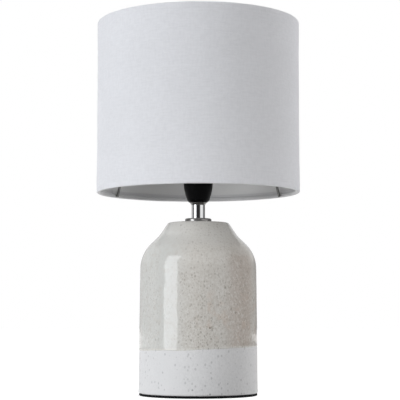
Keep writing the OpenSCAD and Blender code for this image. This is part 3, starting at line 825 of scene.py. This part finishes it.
def rim_wander(angle, z):
    """The rolled edges aren't dead straight."""
    end = 0.0 if z < (FABRIC_LOW.z + FABRIC_HIGH.z) / 2 else UPPER_RIM
    wander = RIM_WANDER * noise.noise(on_circle(angle, RIM_TURNS, end)) + RIM_TILT * math.cos(angle)
    return wander * (1 - smoothstep(*RIM_RANGE, from_rim(z)))


def in_notch(angle, row, outside):
    """True where the inner side of the lower hem is cut away for an arm of the spider."""
    if all(abs(around(angle, arm)) > NOTCH_W / 2 / RING_R for arm in ARM_ANGLES):
        return False
    (r0, z0), (r1, z1) = outside[row], outside[row + 1]
    r, z = (r0 + r1) / 2, (z0 + z1) / 2
    low_hem = row < len(outside) / 2 and z < FABRIC_LOW.z + HEM_H
    inner_side = r < RING_R and z > NOTCH_Z
    over_wire = r < SHADE_R - FABRIC_T - LINER_T and z > FABRIC_LOW.z + ROLL_R + WIRE_R
    return low_hem and (inner_side or over_wire)


def drum_column(bm, angle, outside, inside):
    """One column of points, as pairs: outer face, inner face."""
    pairs = []
    for (out_r, out_z), (in_r, in_z) in zip(outside, inside):
        if out_r > RING_R:
            out_r += linen_relief(angle, out_z) * smoothstep(RING_R, SHADE_R, out_r)
        outer = bm.verts.new(on_circle(angle, out_r, out_z + rim_wander(angle, out_z)))
        inner = bm.verts.new(on_circle(angle, in_r, in_z + rim_wander(angle, in_z) / 2))
        pairs.append((outer, inner))
    return pairs


def weave_faces(bm, grid, present):
    """Both faces of the cloth where it is present, and a wall wherever it ends."""
    columns, last_row = len(present), len(present[0]) - 1
    for c in range(columns):
        after = (c + 1) % columns
        for row in range(last_row + 1):
            if not present[c][row]:
                continue
            corners = [grid[c][row], grid[after][row], grid[after][row + 1], grid[c][row + 1]]
            bm.faces.new([pair[0] for pair in corners])
            bm.faces.new([pair[1] for pair in corners][::-1])
            beside = [
                row > 0 and present[c][row - 1],
                present[after][row],
                row < last_row and present[c][row + 1],
                present[c - 1][row],
            ]
            for i, joined in enumerate(beside):
                if not joined:
                    a, b = corners[i], corners[(i + 1) % 4]
                    bm.faces.new((a[0], a[1], b[1], b[0]))


def make_drum():
    """The linen as a closed sheet, notched at the arms of the spider."""
    outside, inside = drum_paths()
    angles = drum_angles()
    bm = bmesh.new()
    grid = [drum_column(bm, angle, outside, inside) for angle in angles]
    present = []
    for angle, after in zip(angles, angles[1:] + angles[:1]):
        middle = angle + around(after, angle) / 2
        present.append([not in_notch(middle, row, outside) for row in range(len(outside) - 1)])
    weave_faces(bm, grid, present)
    loose = [v for v in bm.verts if not v.link_faces]
    bmesh.ops.delete(bm, geom=loose, context="VERTS")
    drum = finish_mesh("linen_drum", bm, DRUM_SHARP_DEG)
    drum.data.materials.append(linen_material())
    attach(drum, "shade")
    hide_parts("shade_fabric")


# ------------------------ linen's material

# Distance between threads, and how far they wander
THREAD_PITCH = 0.42
THREAD_WANDER = 0.5
# A thread's height between two crossings, as a share of its height on top of one
THREAD_LOW = 0.55
WEAVE_RELIEF = 0.10
LINEN_DULL = rgb(0.784, 0.787, 0.816)
LINEN_BRIGHT = rgb(0.832, 0.835, 0.865)
# Painted shade: the colour in the hollows between threads
LINEN_THREAD_SHADE = rgb(0.640, 0.640, 0.665)
# Painted shade: the colour of the turned-in cloth and the underside of the rolled edges
LINEN_ROLL_SHADE = rgb(0.575, 0.575, 0.585)
# Where the painted shade of the turned-in cloth and the roll's underside begins and where it is full, in the
# roll's radii outside the ring's centre
ROLL_SHADE_RADII = (0.9, 0.3)
# Stretch of the noises that run along the threads: round the drum, and up it
ALONG_WEFT = (0.08, 0.5, 1)
ALONG_WARP = (0.5, 0.08, 1)
TONE_ACROSS = (0.14, 0.50, 1)
TONE_UP = (0.50, 0.14, 1)
# Slubs: stretch, scale, where they begin in the noise, how strongly they show, colour, relief in millimetres
SLUBS = [
    ((0.055, 1.15, 1), 1.0, 0.56, 0.55, rgb(0.760, 0.765, 0.790), 0.10),
    ((0.045, 0.95, 1), 1.7, 0.57, 0.60, rgb(0.880, 0.882, 0.900), 0.08),
    ((1.30, 0.06, 1), 1.0, 0.60, 0.40, rgb(0.765, 0.768, 0.795), 0.08),
]
SLUB_EDGE = 0.18


def threads(graph, cloth, place, stretch):
    """Threads side by side along place: which one a point is on, and 1 on top of each, 0 between."""
    wander = graph.noise(graph.stretched(cloth, stretch), 1.0)
    count = graph.math("DIVIDE", graph.plus(place, graph.times(wander, THREAD_WANDER)), THREAD_PITCH)
    return graph.math("FLOOR", count), graph.math("ABSOLUTE", graph.math("SINE", graph.times(count, math.pi)))


def over(graph, upper, lower):
    """Height of the upper thread where it crosses the lower one."""
    return graph.times(upper, graph.plus(graph.times(lower, 1 - THREAD_LOW), THREAD_LOW))


def linen_material():
    """Fine white plain weave with slubs, laid round the drum: across is the way round, up is Z."""
    material, graph, shader, place = new_material("white_linen", Specular_IOR_Level=0.25)
    x, y, up = graph.axes(place)
    across = graph.times(graph.turn(x, y), SHADE_R / MM)
    cloth = graph.add("ShaderNodeCombineXYZ", {"X": across, "Y": up}).outputs["Vector"]

    weft_number, weft = threads(graph, cloth, up, ALONG_WEFT)
    warp_number, warp = threads(graph, cloth, across, ALONG_WARP)
    odd = graph.math("MODULO", graph.math("ABSOLUTE", graph.plus(warp_number, weft_number)), 2.0)
    weave = graph.blend(odd, over(graph, warp, weft), over(graph, weft, warp))

    tone_across = graph.ramp(graph.noise(graph.stretched(cloth, TONE_ACROSS), 1.0), 0.35, 0.65)
    tone_up = graph.ramp(graph.noise(graph.stretched(cloth, TONE_UP), 1.0), 0.35, 0.65)
    colour = graph.mix(graph.blend(0.5, tone_across, tone_up), LINEN_DULL, LINEN_BRIGHT)
    relief = graph.times(weave, WEAVE_RELIEF)
    for stretch, scale, begin, shows, tint, height in SLUBS:
        yarn = graph.noise(graph.stretched(cloth, stretch), scale, roughness=0.6)
        slub = graph.ramp(yarn, begin, begin + SLUB_EDGE)
        colour = graph.mix(graph.times(slub, shows), colour, tint)
        relief = graph.plus(relief, graph.times(slub, height))
    # Painted shade between the threads, where the weave lies low
    colour = graph.mix(graph.ramp(weave, 0.0, 0.45, 0.16, 0.0), colour, LINEN_THREAD_SHADE)

    # Painted shade on the cloth turned in under the rings and on the inward side of the rolls, told by its
    # distance from the axis
    radius = graph.math("SQRT", graph.plus(graph.times(x, x), graph.times(y, y)))
    begin, full = [(RING_R + share * ROLL_R) / MM for share in ROLL_SHADE_RADII]
    roll_shade = graph.ramp(radius, begin, full)
    colour = graph.mix(roll_shade, colour, LINEN_ROLL_SHADE)
    set_surface(graph, shader, colour, 0.9, graph.bump(relief, strength=0.8))
    return material


# ------------------------ chrome neck

# The bore of flange and collar, which clears the threaded tube, and the sleeve's, in millimetres
BORE_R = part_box("threaded_tube")[1].x / MM + 0.05
SLEEVE_BORE_R = BORE_R + 0.35
NECK_COLUMNS = 160
# The flange is a shallow cap: its wall, round edge and small lip, and the dish's radii and depth
FLANGE_T = 2.2
FLANGE_ROUND = 1.1
FLANGE_LIP = 0.25
FLANGE_DISH_R = 7.4
FLANGE_DISH_FLOOR_R = 7.0
FLANGE_DISH_DEPTH = 0.25
SLEEVE_LIP = 0.2
COLLAR_TAPER = 1.2
COLLAR_ROUND = 0.6
COLLAR_LIP = 0.15
# Rows this far from both ends of a long step keep its shading straight
SUPPORT_GAP = 0.05


def extent(node):
    """Lowest and highest point and outer radius of a turned CAD node, in millimetres."""
    low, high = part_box(node)
    return low.z / MM, high.z / MM, high.x / MM


def supported(points):
    """The outline with a row a hair away from both ends of every long step."""
    line = [points[0]]
    for a, b in zip(points, points[1:]):
        length = math.dist(a, b)
        if length > 10 * SUPPORT_GAP:
            for share in (SUPPORT_GAP / length, 1 - SUPPORT_GAP / length):
                line.append((a[0] + (b[0] - a[0]) * share, a[1] + (b[1] - a[1]) * share))
        line.append(b)
    return line


def turned(name, points, node, material):
    """A turned piece that stands for a CAD node of the base."""
    piece = lathe(name, in_metres(supported(points)), NECK_COLUMNS)
    piece.data.materials.append(material)
    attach(piece, "base")
    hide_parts(node)


def flange_outline():
    low, high, wide = extent("neck_flange")
    dish_z = high - FLANGE_DISH_DEPTH
    outline = [(BORE_R, low + FLANGE_T), (wide - FLANGE_T, low + FLANGE_T), (wide - FLANGE_T, low)]
    outline += arc((wide - FLANGE_LIP, low + FLANGE_LIP), FLANGE_LIP, -90, 0, 4)
    outline += arc((wide - FLANGE_ROUND, high - FLANGE_ROUND), FLANGE_ROUND, 0, 90, 10)
    return outline + [(FLANGE_DISH_R, high), (FLANGE_DISH_FLOOR_R, dish_z), (BORE_R, dish_z)]


def sleeve_outline():
    low, high, wide = extent("neck_sleeve")
    outline = [(SLEEVE_BORE_R, low)]
    outline += arc((wide - SLEEVE_LIP, low + SLEEVE_LIP), SLEEVE_LIP, -90, 0, 4)
    outline += arc((wide - SLEEVE_LIP, high - SLEEVE_LIP), SLEEVE_LIP, 0, 90, 4)
    return outline + [(SLEEVE_BORE_R, high)]


def collar_outline():
    low, high, wide = extent("holder_collar")
    foot = wide - COLLAR_TAPER
    lean = math.degrees(math.atan(COLLAR_TAPER / (high - low)))
    outline = [(BORE_R, low)]
    outline += arc((foot - COLLAR_ROUND, low + COLLAR_ROUND), COLLAR_ROUND, -90, -lean, 8)
    outline += arc((wide - COLLAR_LIP, high - COLLAR_LIP), COLLAR_LIP, -lean, 90, 4)
    return outline + [(BORE_R, high)]


def make_neck(finishes):
    """Flange, sleeve and collar round the threaded tube."""
    turned("chrome_flange", flange_outline(), "neck_flange", finishes["darker_chrome"])
    turned("chrome_sleeve", sleeve_outline(), "neck_sleeve", finishes["polished_chrome"])
    turned("chrome_collar", collar_outline(), "holder_collar", finishes["shade_darkened_chrome"])


# ------------------------ foam foot

# The pad's outline, each point given by its distance in from the widest radius. The underside, hollow in the
# middle, and the lower side have heights above the table; the upper side has distances below the top
FOOT_HOLLOW = 0.25
FOOT_UNDER = [(9, 0.22), (3, 0.0)]
FOOT_LOWER_SIDE = [(0.55, 0.0), (0.25, 0.12), (0.05, 0.45), (0.0, 1.1)]
FOOT_UPPER_SIDE = [(0.02, 0.7), (0.18, 0.15), (0.45, 0.0)]
FOOT_STEP = 4
FOOT_COLUMNS = 240
FOOT_SHARP_DEG = 50
# The cut edge is rough: depth, how far in it reaches, where it starts above the table, size of the bumps
FOOT_ROUGH = 0.05
FOOT_ROUGH_REACH = 2
FOOT_ROUGH_Z = 0.05
FOOT_ROUGH_TURNS = 9
FOOT_ROUGH_PITCH = 3
# The roughness takes away more than it adds
FOOT_WORN = 0.6


def foam_material():
    """Black closed-cell foam: small round pores, with painted shade in them."""
    material, graph, shader, place = new_material("black_foam", Specular_IOR_Level=0.08)
    pore_depth = 0.2
    cells = graph.add("ShaderNodeTexVoronoi", {"Vector": place, "Scale": 2.2}, feature="F1")
    pore = graph.ramp(cells.outputs["Distance"], 0.1, 0.5)
    worn = graph.ramp(graph.noise(place, 0.4), 0.4, 0.7)
    # Painted shade: the pores are darker towards their sunken centres
    colour = graph.mix(pore, grey(0.002), rgb(0.007, 0.007, 0.008))
    colour = graph.mix(worn, colour, rgb(0.010, 0.010, 0.011))
    gloss = graph.ramp(pore, 0.0, 1.0, 0.95, 0.8)
    set_surface(graph, shader, colour, gloss, graph.bump(graph.times(pore, pore_depth)))
    return material


def make_foot():
    """Foam pad: sides that bulge a little under the lamp's weight, soft edges."""
    _, thick, wide = extent("foot_pad")
    side = [(wide - inset, z) for inset, z in FOOT_LOWER_SIDE]
    side += [(wide - inset, thick - drop) for inset, drop in FOOT_UPPER_SIDE]
    under = subdivided([(0.0, FOOT_HOLLOW)] + [(wide - inset, z) for inset, z in FOOT_UNDER], FOOT_STEP)
    top = subdivided([side[-1], (0.0, thick)], FOOT_STEP)[1:]

    def rough(angle, r, z):
        if r < (wide - FOOT_ROUGH_REACH) * MM or z < FOOT_ROUGH_Z * MM:
            return r, z
        place = on_circle(angle, FOOT_ROUGH_TURNS, z / (FOOT_ROUGH_PITCH * MM))
        return r + FOOT_ROUGH * MM * (noise.noise(place) - FOOT_WORN), z

    foot = lathe("foam_foot", in_metres(under + side + top), FOOT_COLUMNS, rough, FOOT_SHARP_DEG)
    foot.data.materials.append(foam_material())
    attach(foot, "base")
    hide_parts("foot_pad")


# ------------------------ studio

CAMERA_PLACE = (0.0017, -1.2832, 0.0774)
CAMERA_TILT_DEG = 4.994
SENSOR_WIDTH_MM = 36
LENS_MM = 118.26
CLIP = (0.05, 50)

FLOOR_R = 6.0
# Low enough not to lie in the plane of the foam's underside
FLOOR_Z = -0.1 * MM
FLOOR_GLOW = 0.56

# Directions round the lamp are azimuths in degrees: 0 is the camera's side, positive is to its right.
# Lights, which the camera never sees: width, height, radiance, (azimuth, distance, height), target.
# One without a target faces straight up. Only the softbox shows in reflections. The floor lets light through.
LIGHTS = {
    "key_softbox": (0.78, 1.12, 3.8, (-54.7, 1.5, 0.56), (0, 0, 0.56)),
    "key_bounce": (0.86, 0.45, 6.3, (-57, 1.5, -0.225), (0, 0, -0.225)),
    "right_fill": (0.40, 0.40, 7.9, (100, 0.84, 1.28), (0, 0, 0.28)),
    "rear_bounce": (0.34, 0.34, 2.9, (-150, 0.42, 0.004), None),
    "front_bounce": (0.34, 0.34, 1.2, (25, 0.42, 0.004), None),
}
KEY_TINT = (0.96, 1.0, 1.04)

# The room round the lamp: (azimuth, brightness) at the height of the horizon, above it and below it
HORIZON = [
    (-180, 0.52), (-128, 0.52), (-124, 0.42), (-91, 0.42), (-88, 0.03), (-71, 0.03), (-68, 0.45), (-40, 0.45),
    (-28, 0.03), (26, 0.03), (40, 0.88), (86, 0.88), (93, 0.17), (150, 0.17), (180, 0.30),
]
UPPER = [
    (-180, 0.65), (-150, 0.8), (-120, 0.8), (-90, 0.0), (-60, 0.0), (-30, 0.65), (0, 0.65),
    (30, 0.95), (60, 1.3), (90, 0.4), (120, 0.55), (150, 0.9), (180, 0.65),
]
LOWER = [
    (-180, 1.7), (-150, 1.0), (-120, 0.35), (-90, 0.0), (90, 0.0), (120, 1.5), (150, 2.4), (180, 1.7),
]
POLE_UP = 0.4
POLE_DOWN = 0.5
BRIGHTEST = 2.4
# Where one zone turns into the next, as the direction's upward share
HORIZON_TO_SLANT = (0.10, 0.22)
SLANT_TO_POLE = (0.60, 0.95)


def make_camera():
    camera = bpy.data.objects.new("camera", bpy.data.cameras.new("camera"))
    SCENE.collection.objects.link(camera)
    camera.location = CAMERA_PLACE
    camera.rotation_euler = (math.radians(90 + CAMERA_TILT_DEG), 0, 0)
    camera.data.sensor_width = SENSOR_WIDTH_MM
    camera.data.lens = LENS_MM
    camera.data.clip_start, camera.data.clip_end = CLIP
    SCENE.camera = camera


def make_panel(name, width, height, radiance, place, target):
    """A rectangular light that the camera doesn't see."""
    light = bpy.data.lights.new(name, "AREA")
    light.shape = "RECTANGLE"
    light.size = width
    light.size_y = height
    light.energy = radiance * math.pi * width * height
    panel = bpy.data.objects.new(name, light)
    SCENE.collection.objects.link(panel)
    azimuth, distance, z = place
    panel.location = on_circle(math.radians(azimuth - 90), distance, z)
    way = Vector(target) - panel.location if target else Vector((0, 0, 1))
    panel.rotation_mode = "QUATERNION"
    panel.rotation_quaternion = way.to_track_quat("-Z", "Y")
    panel.visible_camera = False
    return panel


def make_lights():
    """The softbox on the left, the light it throws back off the ground, and weaker fills."""
    for name, values in LIGHTS.items():
        panel = make_panel(name, *values)
        if name == "key_softbox":
            panel.data.color = KEY_TINT
        else:
            panel.visible_glossy = False


def azimuth_ramp(graph, share, stops):
    """Brightness by azimuth. share runs from 0 at -180 degrees to 1 at 180."""
    ramp = graph.add("ShaderNodeValToRGB", {"Fac": share})
    elements = ramp.color_ramp.elements
    while len(elements) > 1:
        elements.remove(elements[-1])
    for i, (azimuth, level) in enumerate(stops):
        position = (azimuth + 180) / 360
        element = elements[0] if i == 0 else elements.new(position)
        element.position = position
        element.color = grey(level / BRIGHTEST)
    return ramp.outputs["Color"]


def make_world():
    """White to the camera, and a soft studio of panels to everything else."""
    world = bpy.data.worlds.new("studio")
    SCENE.world = world
    world.use_nodes = True
    graph = Graph(world.node_tree)
    world.node_tree.nodes.clear()
    x, y, z = graph.axes(graph.add("ShaderNodeTexCoord").outputs["Generated"])
    share = graph.plus(graph.math("DIVIDE", graph.turn(x, y), 2 * math.pi), 0.5)
    steepness = graph.math("ABSOLUTE", z)
    above = graph.math("GREATER_THAN", z, 0.0)
    slanted = graph.mix(above, azimuth_ramp(graph, share, LOWER), azimuth_ramp(graph, share, UPPER))
    pole = graph.mix(above, grey(POLE_DOWN / BRIGHTEST), grey(POLE_UP / BRIGHTEST))
    light = graph.mix(graph.ramp(steepness, *HORIZON_TO_SLANT), azimuth_ramp(graph, share, HORIZON), slanted)
    light = graph.mix(graph.ramp(steepness, *SLANT_TO_POLE), light, pole)
    panels = graph.add("ShaderNodeBackground", {"Color": light, "Strength": BRIGHTEST})
    backdrop = graph.add("ShaderNodeBackground", {"Color": grey(1.0), "Strength": 1.0})
    seen = graph.add("ShaderNodeLightPath").outputs["Is Camera Ray"]
    both = graph.add("ShaderNodeMixShader", {0: seen, 1: panels.outputs[0], 2: backdrop.outputs[0]})
    graph.add("ShaderNodeOutputWorld", {"Surface": both.outputs[0]})


def floor_material():
    """Pale, with a glow of its own that brings it to the backdrop's white."""
    material, graph, shader, place = new_material("studio_floor", Roughness=0.9, Specular_IOR_Level=0.1)
    graph.feed(shader.inputs["Base Color"], graph.mix(graph.noise(place, 0.004), grey(0.86), grey(0.88)))
    shader.inputs["Emission Color"].default_value = grey(1.0)
    shader.inputs["Emission Strength"].default_value = FLOOR_GLOW
    return material


def make_floor():
    bm = bmesh.new()
    bmesh.ops.create_circle(bm, cap_ends=True, segments=96, radius=FLOOR_R)
    floor = finish_mesh("studio_floor", bm)
    floor.data.materials.append(floor_material())
    floor.location.z = FLOOR_Z
    floor.visible_diffuse = False
    floor.visible_shadow = False


# ------------------------ everything together

SCENE.view_settings.view_transform = "Standard"
make_camera()
make_world()
make_floor()
make_lights()

finishes = shared_finishes()
paint_cad_nodes(finishes)
make_body()
make_drum()
make_neck(finishes)
make_foot()
